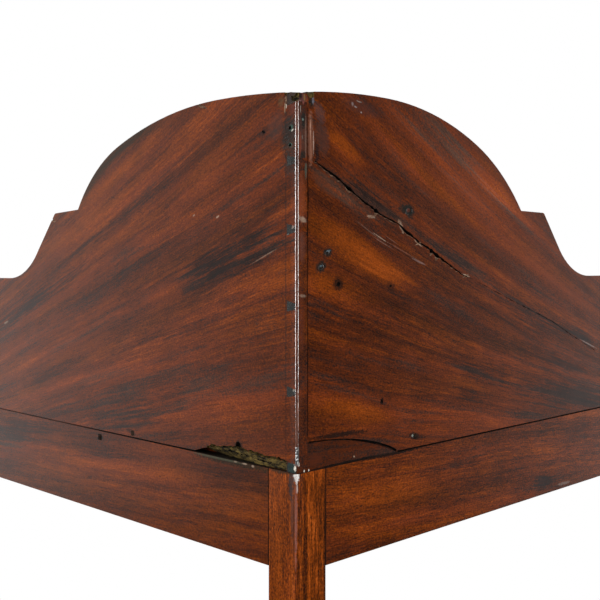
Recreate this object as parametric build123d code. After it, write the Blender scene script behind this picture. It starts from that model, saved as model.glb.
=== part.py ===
from build123d import *
import os
from math import atan2, degrees, sqrt

# A corner washstand of about 1790 in mahogany. Three legs carry a bow-fronted top that is pierced for
# a basin and two cups, a middle shelf over a case with one drawer between two sham drawers, and a low
# three-cornered shelf. Two shaped splash boards are dovetailed together over the back corner.
#
# Millimetres, +Z up, the bow facing -Y. The origin is on the floor, under the middle of the outline.
# The frame is drawn in a corner frame: its origin is the back corner, x runs along the left wall and
# y along the right wall, as seen from the front. The drawer is drawn in a front frame: the same
# origin, with -Y pointing out of the corner along the diagonal.

# Overall sizes
wall_length = 459.0
top_line_height = 840.0
leg_side = 25.4
arris_round = 1.7
overrun = 20.0
root_two = sqrt(2)

# Top board, with the holes for a basin and two cups
top_thickness = 12.0
top_overhang = 6.0
top_nose_round = 5.0
basin_front_margin = 57.0
basin_edge_round = 2.5
cup_hole_radius = 40.0
cup_edge_round = 1.5
hole_wall_margin = 26.0
cup_frieze_margin = 10.0

# Upper rails, the bowed frieze and their tenons
rail_height = 61.4
rail_thickness = 16.0
frieze_thickness = 18.0
tenon_thickness = 6.0
tenon_end_gap = 2.0
tenon_top_shoulder = 10.0
tenon_foot_shoulder = 6.0

# Glue blocks in the angle under the top board and in the case
block_side = 14.0
block_length = 40.0
block_chamfer = 8.0
rail_block_shares = (0.18, 0.465, 0.86)
nailed_block_share = rail_block_shares[1]
frieze_block_angle_shares = (0.28, 0.5, 0.72)

# Splash boards. The two were sawn by hand, so each has its own shares of the length and the height.
splash_thickness = 9.0
splash_end_setback = 4.0
splash_corner_height = 232.2
wing_end_round = 22.5
shoulder_round = 3.8
splash_points = ("crest", "haunch", "shoulder_in", "shoulder_out", "neck", "wing")
left_outline_shares = (
    (0.190, 1.030), (0.420, 0.935), (0.554, 0.735), (0.630, 0.734), (0.688, 0.600), (0.795, 0.509),
)
right_outline_shares = (
    (0.168, 1.020), (0.420, 0.931), (0.542, 0.738), (0.619, 0.731), (0.677, 0.604), (0.785, 0.500),
)

# Dovetails at the back corner: narrow pins on the left board, tails on the right one
pin_centre_shares = (0.212, 0.438, 0.641, 0.822)
pin_tip_width = 3.0
pin_root_width = 7.0
foot_pin_tip_height = 4.2
foot_pin_root_height = 6.6
top_pin_tip_height = 5.2
top_pin_root_height = 7.5

# Damage at the foot of the splash: a broken edge on the right board, a loose wedge on the left one
break_start = 8.5
break_length = 93.0
break_height = 9.0
break_outline_shares = (
    (0.0, 0.62), (0.09, 0.70), (0.22, 0.66), (0.33, 0.76), (0.46, 0.82),
    (0.50, 1.0), (0.56, 0.84), (0.66, 0.74), (0.78, 0.60), (0.88, 0.40), (1.0, 0.0),
)
wedge_length = 87.5
wedge_height = 17.6
wedge_bulge_share = 0.78
wedge_gap = 0.5

# Square cut nails
nail_shank = 1.7
nail_head_side = 3.8
nail_head_thickness = 1.0
wall_nail_length = 25.0
left_nail_shares = (0.254, 0.69)
right_nail_shares = (0.378, 0.28)
rail_nail_depth = 5.2

# Middle shelf and drawer case
shelf_height = 500.0
shelf_thickness = 10.0
shelf_overhang = 2.5
shelf_nose_round = 3.0
case_opening_height = 75.0
case_board_thickness = 10.0
case_rail_thickness = 12.0
case_tenon_shoulder = 8.0
housing_depth = 5.0
divider_thickness = 10.0
divider_tongue = 3.0
divider_tongue_setback = 15.0
divider_back_gap = 0.6
drawer_opening_width = 240.0
sham_front_thickness = 16.0

# Cock beads round the drawer front and the sham fronts
bead_width = 2.6
bead_depth = 5.0
bead_projection = 1.6

# Drawer
drawer_side_gap = 0.6
drawer_top_gap = 1.0
drawer_foot_gap = 0.3
drawer_front_thickness = 17.0
drawer_front_lap = 5.0
drawer_side_thickness = 8.0
drawer_side_drop = 3.0
drawer_back_thickness = 7.0
drawer_back_drop = 5.0
drawer_back_gap = 8.0
drawer_bottom_thickness = 5.0
drawer_bottom_height = 5.0
drawer_groove_depth = 4.0
drawer_tail_count = 3
drawer_pin_tip_width = 4.0
drawer_pin_root_width = 8.0
drawer_nail_length = 16.0
drawer_nail_shares = (-0.7, 0.0, 0.7)
stop_length = 22.0
stop_depth = 10.0
stop_height = 4.0
stop_gap = 0.3
stop_centre_share = 0.42

# Turned brass knobs
knob_plate_radius = 9.0
knob_plate_thickness = 1.6
knob_neck_radius = 4.2
knob_neck_length = 8.0
knob_head_radius = 10.5
knob_head_length = 11.0
knob_swell_share = 0.55
knob_shank_radius = 2.2
knob_hole_gap = 0.2
nut_side = 9.0
nut_thickness = 3.0
shank_end_length = 1.5

# Low shelf, with a shallow turned seat for a ewer
low_shelf_height = 160.0
low_shelf_thickness = 12.0
low_shelf_end_inset = 5.0
low_shelf_housing = 9.0
ewer_seat_radius = 50.0
ewer_seat_depth = 2.0
ewer_seat_centre_share = 0.33
ewer_seat_rim = 12.0

# Splayed feet of the front legs
splay_start_height = 145.0
splay_reach = 27.0
foot_width = 21.0

# Derived places. The bow is struck from the inner corner of the back leg, so that it runs smoothly
# into the faces of the front legs.
bow_centre = leg_side
bow_radius = wall_length - leg_side
bow_depth = bow_centre * root_two + bow_radius
front_bow_y = -bow_centre * root_two
front_leg_start = wall_length - leg_side
rail_foot_height = top_line_height - rail_height
rail_tenon_setback = (rail_thickness - tenon_thickness) / 2
rail_tenon_length = leg_side - rail_tenon_setback - tenon_thickness - tenon_end_gap
frieze_tenon_setback = (frieze_thickness - tenon_thickness) / 2
frieze_inner_radius = bow_radius - frieze_thickness
top_surface_height = top_line_height + top_thickness
splash_length = wall_length - splash_end_setback
basin_wall_distance = splash_thickness + hole_wall_margin
basin_room = frieze_inner_radius - basin_front_margin - (basin_wall_distance - bow_centre) * root_two
basin_hole_radius = basin_room / (1 + root_two)
basin_centre = basin_wall_distance + basin_hole_radius
cup_wall_distance = splash_thickness + hole_wall_margin + cup_hole_radius
cup_bow_reach = frieze_inner_radius - cup_frieze_margin - cup_hole_radius
cup_distance = bow_centre + sqrt(cup_bow_reach**2 - (cup_wall_distance - bow_centre) ** 2)
shelf_foot = shelf_height - shelf_thickness
case_floor = shelf_foot - case_opening_height
case_foot = case_floor - case_board_thickness
case_tenon_thickness = case_rail_thickness / 2
case_tenon_setback = (case_rail_thickness - case_tenon_thickness) / 2
case_tenon_length = leg_side - case_tenon_setback - case_tenon_thickness - tenon_end_gap
opening_half = drawer_opening_width / 2
divider_outer = opening_half + divider_thickness
case_middle = case_floor + case_opening_height / 2
drawer_half = opening_half - drawer_side_gap
drawer_foot = case_floor + drawer_foot_gap
drawer_head = shelf_foot - drawer_top_gap
drawer_side_head = drawer_head - drawer_side_drop
drawer_back_y = -(drawer_half + case_rail_thickness * root_two + drawer_back_gap)
drawer_panel_foot = drawer_foot + drawer_bottom_height
drawer_panel_head = drawer_panel_foot + drawer_bottom_thickness
drawer_back_head = drawer_side_head - drawer_back_drop
knob_projection = knob_plate_thickness + knob_neck_length + knob_head_length
front_reach = bow_depth + max(top_overhang, knob_projection)
arris_loss = arris_round * (root_two - 1)
corner_y = (front_reach + arris_loss) / 2


def slab(low, high):
    """A box between two opposite corners."""
    size = [b - a for a, b in zip(low, high)]
    return Pos(*low) * Box(*size, align=(Align.MIN, Align.MIN, Align.MIN))


def disc(radius, foot, head, x=0.0, y=0.0):
    """An upright cylinder."""
    return Pos(x, y, foot) * Cylinder(radius, head - foot, align=(Align.CENTER, Align.CENTER, Align.MIN))


def solid_of(edges, depth, plane=Plane.XY):
    """The closed outline given by edges in a plane, extruded along the plane's normal."""
    return extrude(plane * make_face(Wire(edges)), amount=depth)


def to_row(shape):
    """From the corner frame to the part's own frame."""
    return Pos(0, corner_y, 0) * Rot(0, 0, 225) * shape


def front_to_row(shape):
    """From the front frame to the part's own frame."""
    return Pos(0, corner_y, 0) * shape


def swapped(shape):
    """The same shape on the other wall, in the corner frame."""
    return mirror(shape, about=Plane(origin=(0, 0, 0), x_dir=(1, 1, 0), z_dir=(1, -1, 0)))


def flipped(shape):
    """The same shape on the other side of the diagonal, in the front frame."""
    return mirror(shape, about=Plane.YZ)


def group(shapes):
    """Separate solids that share one node."""
    return Compound([solid for shape in shapes for solid in shape.solids()])


def quadrant(inset, overhang, foot, head):
    """A bow-fronted board in the corner frame, from the two walls to the bow and its overhang."""
    reach = wall_length + overhang
    middle = bow_centre + (reach - bow_centre) / root_two
    edges = [
        Line((inset, inset), (reach, inset)),
        Line((reach, inset), (reach, bow_centre)),
        ThreePointArc((reach, bow_centre), (middle, middle), (bow_centre, reach)),
        Line((bow_centre, reach), (inset, reach)),
        Line((inset, reach), (inset, inset)),
    ]
    return Pos(0, 0, foot) * solid_of(edges, head - foot)


def nosed(board, foot, head, radius):
    """Rounds the front edges of a bow-fronted board, above and below."""
    def at_front(edge):
        centre = edge.center()
        level = min(abs(centre.Z - foot), abs(centre.Z - head)) < arris_round / 2
        return level and (edge.geom_type == GeomType.CIRCLE or max(centre.X, centre.Y) > wall_length)
    return fillet([edge for edge in board.edges() if at_front(edge)], radius)


def bow_ring(inner, outer, foot, head):
    """A bowed piece between the front legs, in the corner frame."""
    ring = disc(outer, foot, head, bow_centre, bow_centre) - disc(inner, foot, head, bow_centre, bow_centre)
    reach = wall_length + overrun
    return ring & slab((bow_centre, bow_centre, foot), (reach, reach, head))


def front_ring(inner, outer, x_low, x_high, foot, head):
    """A bowed piece between two sides that run straight out, in the front frame."""
    ring = disc(outer, foot, head, 0, front_bow_y) - disc(inner, foot, head, 0, front_bow_y)
    return ring & slab((x_low, -bow_depth - overrun, foot), (x_high, front_bow_y, head))


def leg_notches(housing, reach, foot, head):
    """What the three legs take out of a board, but for a corner of the board let into each leg."""
    back = slab((-overrun, -overrun, foot), (leg_side, leg_side, head))
    back -= slab((leg_side - housing, leg_side - housing, foot), (leg_side, leg_side, head))
    side = slab((front_leg_start, -overrun, foot), (reach + overrun, leg_side, head))
    side -= slab(
        (front_leg_start, leg_side - housing, foot),
        (front_leg_start + housing, leg_side, head),
    )
    return back + side + swapped(side)


def cut_nail(length):
    """A square cut nail along -Z, its head's upper face at the origin."""
    half_head, half_shank = nail_head_side / 2, nail_shank / 2
    head = slab((-half_head, -half_head, -nail_head_thickness), (half_head, half_head, 0))
    return head + slab((-half_shank, -half_shank, -length), (half_shank, half_shank, 0))


# Legs
def back_leg_blank():
    leg = slab((0, 0, 0), (leg_side, leg_side, top_line_height))
    outer_arris = [e for e in leg.edges().filter_by(Axis.Z) if e.center().X + e.center().Y < leg_side / 2]
    return fillet(outer_arris, arris_round)


def front_leg_blank():
    """The leg on the left wall, sawn from a wider piece so that its foot splays along the wall."""
    outer_foot = wall_length + splay_reach
    outer_top = (wall_length, splay_start_height)
    inner_top = (front_leg_start, splay_start_height)
    edges = [
        TangentArc(outer_top, (outer_foot, 0), tangent=(0, -1)),
        Line((outer_foot, 0), (outer_foot - foot_width, 0)),
        TangentArc(inner_top, (outer_foot - foot_width, 0), tangent=(0, -1)),
        Line(inner_top, (front_leg_start, top_line_height)),
        Line((front_leg_start, top_line_height), (wall_length, top_line_height)),
        Line((wall_length, top_line_height), outer_top),
    ]
    return solid_of(edges, -leg_side, Plane.XZ)


# Upper rails and frieze
def upper_rail():
    """The rail along the left wall, with a tenon into the back leg and one into the front leg."""
    tenon_low = rail_foot_height + tenon_foot_shoulder
    tenon_high = top_line_height - tenon_top_shoulder
    body = slab((leg_side, 0, rail_foot_height), (front_leg_start, rail_thickness, top_line_height))
    tenons = slab(
        (leg_side - rail_tenon_length, rail_tenon_setback, tenon_low),
        (front_leg_start + rail_tenon_length, rail_tenon_setback + tenon_thickness, tenon_high),
    )
    return body + tenons


def upper_frieze():
    """The bowed rail between the front legs, with a tenon at each end."""
    body = bow_ring(frieze_inner_radius, bow_radius, rail_foot_height, top_line_height)
    tenon = slab(
        (
            wall_length - frieze_tenon_setback - tenon_thickness,
            leg_side - rail_tenon_length,
            rail_foot_height + tenon_foot_shoulder,
        ),
        (wall_length - frieze_tenon_setback, leg_side, top_line_height - tenon_top_shoulder),
    )
    return body + tenon + swapped(tenon)


def block_prism(length):
    """A glue block along x, in the angle between a wall at y = 0 and a ceiling at z = 0."""
    edges = Polyline(
        (0, 0), (block_side, 0), (block_side, -(block_side - block_chamfer)),
        (block_side - block_chamfer, -block_side), (0, -block_side), close=True,
    )
    return Pos(-length / 2, 0, 0) * solid_of(edges.edges(), length, Plane.YZ)


def top_glue_blocks(frieze):
    """Two blocks on each upper rail and three on the frieze, under the top board."""
    span = front_leg_start - leg_side
    on_rail = [
        Pos(leg_side + share * span, rail_thickness, top_line_height) * block_prism(block_length)
        for share in rail_block_shares
    ]
    on_frieze = []
    for share in frieze_block_angle_shares:
        turned = Rot(0, 0, 90 + 90 * share) * Pos(0, -frieze_inner_radius, 0) * block_prism(block_length)
        on_frieze.append(Pos(bow_centre, bow_centre, top_line_height) * turned - frieze)
    return group(on_rail + [swapped(block) for block in on_rail] + on_frieze)


# Top board
def top_board():
    board = nosed(
        quadrant(0, top_overhang, top_line_height, top_surface_height),
        top_line_height, top_surface_height, top_nose_round,
    )
    strip = slab((-overrun, -overrun, top_line_height), (splash_length, splash_thickness, top_surface_height))
    board -= strip + swapped(strip)
    holes = [(basin_centre, basin_centre, basin_hole_radius, basin_edge_round)]
    for x, y in ((cup_distance, cup_wall_distance), (cup_wall_distance, cup_distance)):
        holes.append((x, y, cup_hole_radius, cup_edge_round))
    for x, y, radius, edge_round in holes:
        board -= disc(radius, top_line_height - overrun, top_surface_height + overrun, x, y)
        rims = [
            edge for edge in board.edges().filter_by(GeomType.CIRCLE)
            if abs(edge.radius - radius) < edge_round / 2
            and abs(edge.arc_center.X - x) + abs(edge.arc_center.Y - y) < edge_round
            and edge.center().Z > top_line_height + top_thickness / 2
        ]
        board = fillet(rims, edge_round)
    return board


# Splash boards
def splash_blank(shares):
    """One splash board on the left wall, from the back corner, before its joints are cut."""
    place = {
        name: (across * splash_length, up * splash_corner_height)
        for name, (across, up) in zip(splash_points, shares)
    }
    corner_top = (0, splash_corner_height)
    wing_height = place["wing"][1]
    end_low = (splash_length, wing_height - wing_end_round)
    end_high = (splash_length - wing_end_round, wing_height)
    haunch_arc = TangentArc(place["crest"], place["haunch"], tangent=(1, 0))
    edges = [
        Line((0, 0), corner_top),
        TangentArc(place["crest"], corner_top, tangent=(-1, 0)),
        haunch_arc,
        TangentArc(place["haunch"], place["shoulder_in"], tangent=haunch_arc % 1),
        Line(place["shoulder_in"], place["shoulder_out"]),
        Line(place["shoulder_out"], place["neck"]),
        TangentArc(place["wing"], place["neck"], tangent=(-1, 0)),
        Line(place["wing"], end_high),
        TangentArc(end_high, end_low, tangent=(1, 0)),
        Line(end_low, (splash_length, 0)),
        Line((splash_length, 0), (0, 0)),
    ]
    face = make_face(Wire(edges))
    shoulder = min(face.vertices(), key=lambda v: (Vector(*place["shoulder_out"]) - Vector(v)).length)
    face = fillet([shoulder], shoulder_round)
    return Pos(0, 0, top_line_height) * extrude(Plane.XZ * face, amount=-splash_thickness)


def dovetail_pin(middle, tip_width, root_width, lean=0):
    """A pin through the tail board: narrow at the outside, wide at the inside. lean -1 or 1 keeps one side square."""
    low_tip, high_tip = middle - tip_width / 2, middle + tip_width / 2
    low_root, high_root = middle - root_width / 2, middle + root_width / 2
    if lean < 0:
        low_tip = low_root = middle
        high_tip, high_root = middle + tip_width, middle + root_width
    if lean > 0:
        high_tip = high_root = middle
        low_tip, low_root = middle - tip_width, middle - root_width
    edges = Polyline(
        (0, low_tip), (splash_thickness, low_root), (splash_thickness, high_root), (0, high_tip), close=True,
    )
    return Pos(0, 0, top_line_height) * solid_of(edges.edges(), splash_thickness, Plane.YZ)


def splash_arris():
    """What is rounded off the back corner of the two boards."""
    head = top_line_height + splash_corner_height + overrun
    square = slab((-overrun, -overrun, top_line_height), (arris_round, arris_round, head))
    return square - disc(arris_round, top_line_height, head, arris_round, arris_round)


def foot_wedge(gap):
    """The piece that broke off the foot of the left board and was put back, with its foot pin."""
    start, end = splash_thickness, splash_thickness + wedge_length - gap
    middle = (start + end) / 2
    height = wedge_height - gap
    edges = [
        Line((start, 0), (end, 0)),
        ThreePointArc((end, 0), (middle, height * wedge_bulge_share), (start, height)),
        Line((start, height), (start, 0)),
    ]
    wedge = Pos(0, 0, top_line_height) * solid_of(edges, -splash_thickness, Plane.XZ)
    return wedge + dovetail_pin(0, foot_pin_tip_height, foot_pin_root_height, lean=-1)


def broken_edge():
    """The ragged gap at the foot of the right board."""
    points = [
        (break_start + along * break_length, up * break_height) for along, up in break_outline_shares
    ]
    edges = Polyline((break_start, -overrun), *points, (points[-1][0], -overrun), close=True)
    cutter = solid_of(edges.edges(), -splash_thickness - overrun, Plane.XZ)
    return swapped(Pos(0, -overrun / 2, top_line_height) * cutter)


def wall_nails():
    """A nail through the foot of each splash board into the top board, and one through the right rail."""
    def driven(along, height):
        return Pos(along, 0, height) * Rot(90, 0, 0) * cut_nail(wall_nail_length)
    left, right = [
        driven(along * splash_length, top_line_height + up * top_thickness)
        for along, up in (left_nail_shares, right_nail_shares)
    ]
    block_middle = leg_side + nailed_block_share * (front_leg_start - leg_side)
    rail = driven(block_middle, top_line_height - rail_nail_depth)
    return group([left, swapped(right), swapped(rail)])


def splash_boards(nails):
    """The two boards and the wedge, with their joint cut."""
    pins = Part()
    for share in pin_centre_shares:
        pins += dovetail_pin(share * splash_corner_height, pin_tip_width, pin_root_width)
    pins += dovetail_pin(splash_corner_height, top_pin_tip_height, top_pin_root_height, lean=1)
    left_blank, right_blank = splash_blank(left_outline_shares), swapped(splash_blank(right_outline_shares))
    head = top_line_height + 2 * splash_corner_height
    past_joint = slab(
        (splash_thickness, 0, top_line_height), (splash_length, splash_thickness, head)
    )
    arris = splash_arris()
    wedge = foot_wedge(wedge_gap) - arris
    left = (left_blank & past_joint) + pins - foot_wedge(0) - arris - nails
    right = right_blank - pins - wedge - arris - broken_edge() - nails
    return left, right, wedge - nails


# Middle shelf and the case under it
def case_rail():
    body = slab((leg_side, 0, case_floor), (front_leg_start, case_rail_thickness, shelf_foot))
    tenons = slab(
        (leg_side - case_tenon_length, case_tenon_setback, case_floor + case_tenon_shoulder),
        (
            front_leg_start + case_tenon_length,
            case_tenon_setback + case_tenon_thickness,
            shelf_foot - case_tenon_shoulder,
        ),
    )
    return body + tenons


def case_divider():
    """The upright between the drawer and the right sham front, with a stopped tongue above and below."""
    back = -(divider_outer + case_rail_thickness * root_two + divider_back_gap)
    front = -bow_depth
    body = slab((opening_half, front, case_floor), (divider_outer, back, shelf_foot))
    body &= disc(bow_radius, case_floor, shelf_foot, 0, front_bow_y)
    tongue = slab(
        (opening_half, front, case_floor - divider_tongue), (divider_outer, back, shelf_foot + divider_tongue)
    )
    tongue_radius = bow_radius - divider_tongue_setback
    tongue &= disc(tongue_radius, case_floor - divider_tongue, shelf_foot + divider_tongue, 0, front_bow_y)
    return body + tongue


def bead_frame(region_of):
    """Four beads round a bowed front. region_of gives the front's own outline between two radii."""
    outer = bow_radius + bead_projection
    whole = region_of(bow_radius - bead_depth, outer, 0)
    return whole - region_of(bow_radius - bead_depth - overrun, outer + overrun, bead_width)


def split_beads(frame, foot, head):
    """Cuts a bead frame into its four strips, along the ends of the upright ones."""
    reach = wall_length * 2
    lower = frame & slab((-reach, -reach, foot), (reach, reach, foot + bead_width))
    upper = frame & slab((-reach, -reach, head - bead_width), (reach, reach, head))
    sides = frame & slab((-reach, -reach, foot + bead_width), (reach, reach, head - bead_width))
    return group([lower, upper, sides])


def sham_region(inner, outer, inset):
    """The right sham front between two radii, in the front frame, less an inset all round."""
    foot, head = case_floor + inset, shelf_foot - inset
    ring = front_ring(inner, outer, divider_outer + inset, wall_length + overrun, foot, head)
    leg_face = (leg_side + inset) * root_two
    reach = wall_length * 2
    beyond = Rot(0, 0, -45) * slab((-reach, -reach, foot), (reach, 0, head))
    return ring & (Pos(0, -leg_face, 0) * beyond)


def drawer_region(inner, outer, inset):
    """The drawer front between two radii, in the front frame, less an inset all round."""
    half = drawer_half - inset
    return front_ring(inner, outer, -half, half, drawer_foot + inset, drawer_head - inset)


def sham_middle_angle():
    """The turn about the bow centre from the diagonal to the middle of the right sham front."""
    return (45 + degrees(atan2(divider_outer, bow_radius))) / 2


def brass_knob():
    """A turned knob with its shank, pointing along -Y from a face at y = 0."""
    head_start = knob_plate_thickness + knob_neck_length
    tip = knob_projection
    waist = (knob_neck_radius, head_start - knob_neck_length / 2)
    shank_length = drawer_front_thickness + nut_thickness + shank_end_length
    swell = (knob_head_radius, head_start + knob_head_length * knob_swell_share)
    edges = [
        Line((0, -shank_length), (knob_shank_radius, -shank_length)),
        Line((knob_shank_radius, -shank_length), (knob_shank_radius, 0)),
        Line((knob_shank_radius, 0), (knob_plate_radius, 0)),
        Line((knob_plate_radius, 0), (knob_plate_radius, knob_plate_thickness / 2)),
        Line((knob_plate_radius, knob_plate_thickness / 2), (knob_neck_radius, knob_plate_thickness)),
        Line((knob_neck_radius, knob_plate_thickness), waist),
        TangentArc(waist, swell, tangent=(0, 1)),
        TangentArc((0, tip), swell, tangent=(1, 0)),
        Line((0, tip), (0, -shank_length)),
    ]
    return Rot(0, 0, 180) * revolve(make_face(Wire(edges)), Axis.Y)


def square_nut():
    half = nut_side / 2
    bore_radius = knob_shank_radius + knob_hole_gap
    plate = slab((-half, 0, -half), (half, nut_thickness, half))
    bore = Rot(-90, 0, 0) * disc(bore_radius, -overrun, overrun)
    return plate - bore


def on_bow(shape, radius, turn, height):
    """Places a piece drawn at a face y = 0 onto the bow, at a turn from the diagonal."""
    return Pos(0, front_bow_y, height) * Rot(0, 0, turn) * Pos(0, -radius, 0) * shape


def shank_hole(turn):
    """The hole for a knob's shank through a bowed front."""
    bore = Rot(90, 0, 0) * disc(knob_shank_radius + knob_hole_gap, -overrun * 2, overrun)
    return on_bow(bore, bow_radius, turn, case_middle)


def nut_on_bow(thickness, turn):
    """A nut against the hollow back face of a bowed front."""
    inner = bow_radius - thickness
    seat = sqrt(inner**2 - (nut_side / 2) ** 2)
    return on_bow(square_nut(), seat, turn, case_middle)


# Drawer
def tail_gaps(tip_y, root_y, foot, head):
    """The gaps between a drawer side's tails: half gaps at the edges and whole ones between."""
    half_tip, half_root = drawer_pin_tip_width / 2, drawer_pin_root_width / 2
    spacing = (head - foot) / drawer_tail_count
    gaps = Part()
    for number in range(drawer_tail_count + 1):
        middle = foot + number * spacing
        edges = Polyline(
            (tip_y, middle - half_tip), (root_y, middle - half_root),
            (root_y, middle + half_root), (tip_y, middle + half_tip), close=True,
        )
        prism = solid_of(edges.edges(), drawer_side_thickness, Plane.YZ)
        gaps += Pos(drawer_half - drawer_side_thickness, 0, 0) * prism
    return gaps & slab((-wall_length, -wall_length * 2, foot), (wall_length, 0, head))


def drawer_side():
    """The right side, with lapped tails at the front and through tails at the back."""
    inner_x = drawer_half - drawer_side_thickness
    lap_radius = bow_radius - drawer_front_lap
    root_radius = bow_radius - drawer_front_thickness
    side = slab((inner_x, -bow_depth, drawer_foot), (drawer_half, drawer_back_y, drawer_side_head))
    side &= disc(lap_radius, drawer_foot, drawer_side_head, 0, front_bow_y)
    front_tip = front_bow_y - lap_radius
    front_root = front_bow_y - sqrt(root_radius**2 - drawer_half**2)
    front_gaps = tail_gaps(front_tip, front_root, drawer_foot, drawer_side_head)
    front_gaps -= disc(root_radius, drawer_foot - overrun, drawer_side_head + overrun, 0, front_bow_y)
    back_gaps = tail_gaps(
        drawer_back_y, drawer_back_y - drawer_back_thickness, drawer_panel_head, drawer_back_head
    )
    return side - front_gaps - back_gaps


def drawer_back_blank():
    return slab(
        (-drawer_half, drawer_back_y - drawer_back_thickness, drawer_panel_head),
        (drawer_half, drawer_back_y, drawer_back_head),
    )


def drawer_bottom_blank():
    """The bottom slides in grooves in the sides and front, under the back."""
    half = drawer_half - drawer_side_thickness + drawer_groove_depth
    panel = slab((-half, -bow_depth, drawer_panel_foot), (half, drawer_back_y, drawer_panel_head))
    reach = bow_radius - drawer_front_thickness + drawer_groove_depth
    return panel & disc(reach, drawer_panel_foot, drawer_panel_head, 0, front_bow_y)


def drawer_nails():
    """Nails up through the bottom into the back."""
    y = drawer_back_y - drawer_back_thickness / 2
    nail = Rot(180, 0, 0) * cut_nail(drawer_nail_length)
    return group([Pos(share * drawer_half, y, drawer_panel_foot) * nail for share in drawer_nail_shares])


def drawer_stops():
    """Two blocks on the case floor that the drawer front closes against."""
    inner = bow_radius - drawer_front_thickness
    centre = stop_centre_share * drawer_half
    near, far = centre - stop_length / 2, centre + stop_length / 2
    face = front_bow_y - sqrt(inner**2 - far**2) + stop_gap
    block = slab((near, face, case_floor), (far, face + stop_depth, case_floor + stop_height))
    return group([block, flipped(block)])


# Low shelf
def low_shelf_blank():
    """A board between the three legs, hollowed on its three sides."""
    near, far = low_shelf_end_inset, wall_length - low_shelf_end_inset
    centre = ewer_seat_centre_share * wall_length
    round_seat = ewer_seat_radius + ewer_seat_rim
    wall_start, wall_end = (leg_side, near), (front_leg_start, near)
    wall_middle = ((leg_side + front_leg_start) / 2, centre - round_seat)
    front_start, front_end = (far, leg_side), (leg_side, far)
    front_middle = centre + round_seat / root_two
    edges = [
        Line((near, near), wall_start),
        ThreePointArc(wall_start, wall_middle, wall_end),
        Line(wall_end, (far, near)),
        Line((far, near), front_start),
        ThreePointArc(front_start, (front_middle, front_middle), front_end),
        Line(front_end, (near, far)),
        Line((near, far), wall_end[::-1]),
        ThreePointArc(wall_end[::-1], wall_middle[::-1], wall_start[::-1]),
        Line(wall_start[::-1], (near, near)),
    ]
    head = low_shelf_height + low_shelf_thickness
    board = Pos(0, 0, low_shelf_height) * solid_of(edges, low_shelf_thickness)
    board -= disc(ewer_seat_radius, head - ewer_seat_depth, head + overrun, centre, centre)
    return board - leg_notches(low_shelf_housing, wall_length, low_shelf_height, head)


def case_glue_blocks(sham, turn):
    """Two blocks behind the right sham front, on the case floor and under the shelf, in the front frame."""
    inner = bow_radius - sham_front_thickness
    hanging = block_prism(block_length)
    standing = Rot(0, 180, 0) * hanging
    upper = on_bow(hanging, inner, turn, shelf_foot) - sham
    lower = on_bow(standing, inner, turn, case_floor) - sham
    return [upper, lower]


def frame_nodes():
    """The legs, rails, top, splash boards and shelves, in the part's own frame."""
    rail = upper_rail()
    frieze = upper_frieze()
    case_back = case_rail()
    nails = wall_nails()
    splash_left, splash_right, wedge = splash_boards(nails)
    low_shelf = low_shelf_blank()
    shelf_blank = quadrant(0, shelf_overhang, shelf_foot, shelf_height)
    shelf = nosed(shelf_blank, shelf_foot, shelf_height, shelf_nose_round)
    shelf -= leg_notches(housing_depth, wall_length, shelf_foot, shelf_height)
    floor = quadrant(0, 0, case_foot, case_floor)
    floor -= leg_notches(housing_depth, wall_length, case_foot, case_floor)
    boards = shelf + floor + low_shelf
    rails_left = rail + case_back
    rails_right = swapped(rails_left)
    in_corner = {
        "back_leg": back_leg_blank() - rails_left - rails_right - boards,
        "front_leg_left": front_leg_blank() - rails_left - frieze - boards,
        "front_leg_right": swapped(front_leg_blank()) - rails_right - frieze - boards,
        "upper_rail_left": rail,
        "upper_rail_right": swapped(rail) - nails,
        "upper_frieze": frieze,
        "top_glue_blocks": group([top_glue_blocks(frieze) - nails]),
        "top_board": top_board() - nails,
        "splash_board_left": splash_left,
        "splash_board_right": splash_right,
        "splash_wedge_left": wedge,
        "wall_nails": nails,
        "middle_shelf": shelf,
        "case_floor": floor,
        "case_rail_left": case_back,
        "case_rail_right": swapped(case_back),
        "low_shelf": low_shelf,
    }
    return {name: to_row(shape) for name, shape in in_corner.items()}


def case_nodes():
    """The dividers and sham fronts on both sides of the drawer, in the part's own frame."""
    turn = sham_middle_angle()
    beads = bead_frame(sham_region)
    sham = sham_region(bow_radius - sham_front_thickness, bow_radius, 0) - beads - shank_hole(turn)
    right = {
        "case_divider": case_divider(),
        "sham_front": sham,
        "sham_beads": split_beads(beads, case_floor, shelf_foot),
        "sham_knob": on_bow(brass_knob(), bow_radius, turn, case_middle),
        "sham_knob_nut": nut_on_bow(sham_front_thickness, turn),
    }
    nodes = {}
    for name, shape in right.items():
        nodes[name + "_left"] = front_to_row(flipped(shape))
        nodes[name + "_right"] = front_to_row(shape)
    blocks = case_glue_blocks(sham, turn)
    nodes["case_glue_blocks"] = front_to_row(group(blocks + [flipped(block) for block in blocks]))
    nodes["drawer_stops"] = front_to_row(drawer_stops())
    return nodes


def drawer_nodes():
    """The drawer, shut, in the part's own frame."""
    side_right = drawer_side()
    side_left = flipped(side_right)
    bottom = drawer_bottom_blank()
    nails = drawer_nails()
    beads = bead_frame(drawer_region)
    front = drawer_region(bow_radius - drawer_front_thickness, bow_radius, 0)
    in_front = {
        "drawer_front": front - beads - side_left - side_right - bottom - shank_hole(0),
        "drawer_side_left": side_left - bottom,
        "drawer_side_right": side_right - bottom,
        "drawer_back": drawer_back_blank() - side_left - side_right - nails,
        "drawer_bottom": bottom - nails,
        "drawer_beads": split_beads(beads, drawer_foot, drawer_head),
        "drawer_bottom_nails": nails,
        "drawer_knob": on_bow(brass_knob(), bow_radius, 0, case_middle),
        "drawer_knob_nut": nut_on_bow(drawer_front_thickness, 0),
    }
    return {name: front_to_row(shape) for name, shape in in_front.items()}


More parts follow.
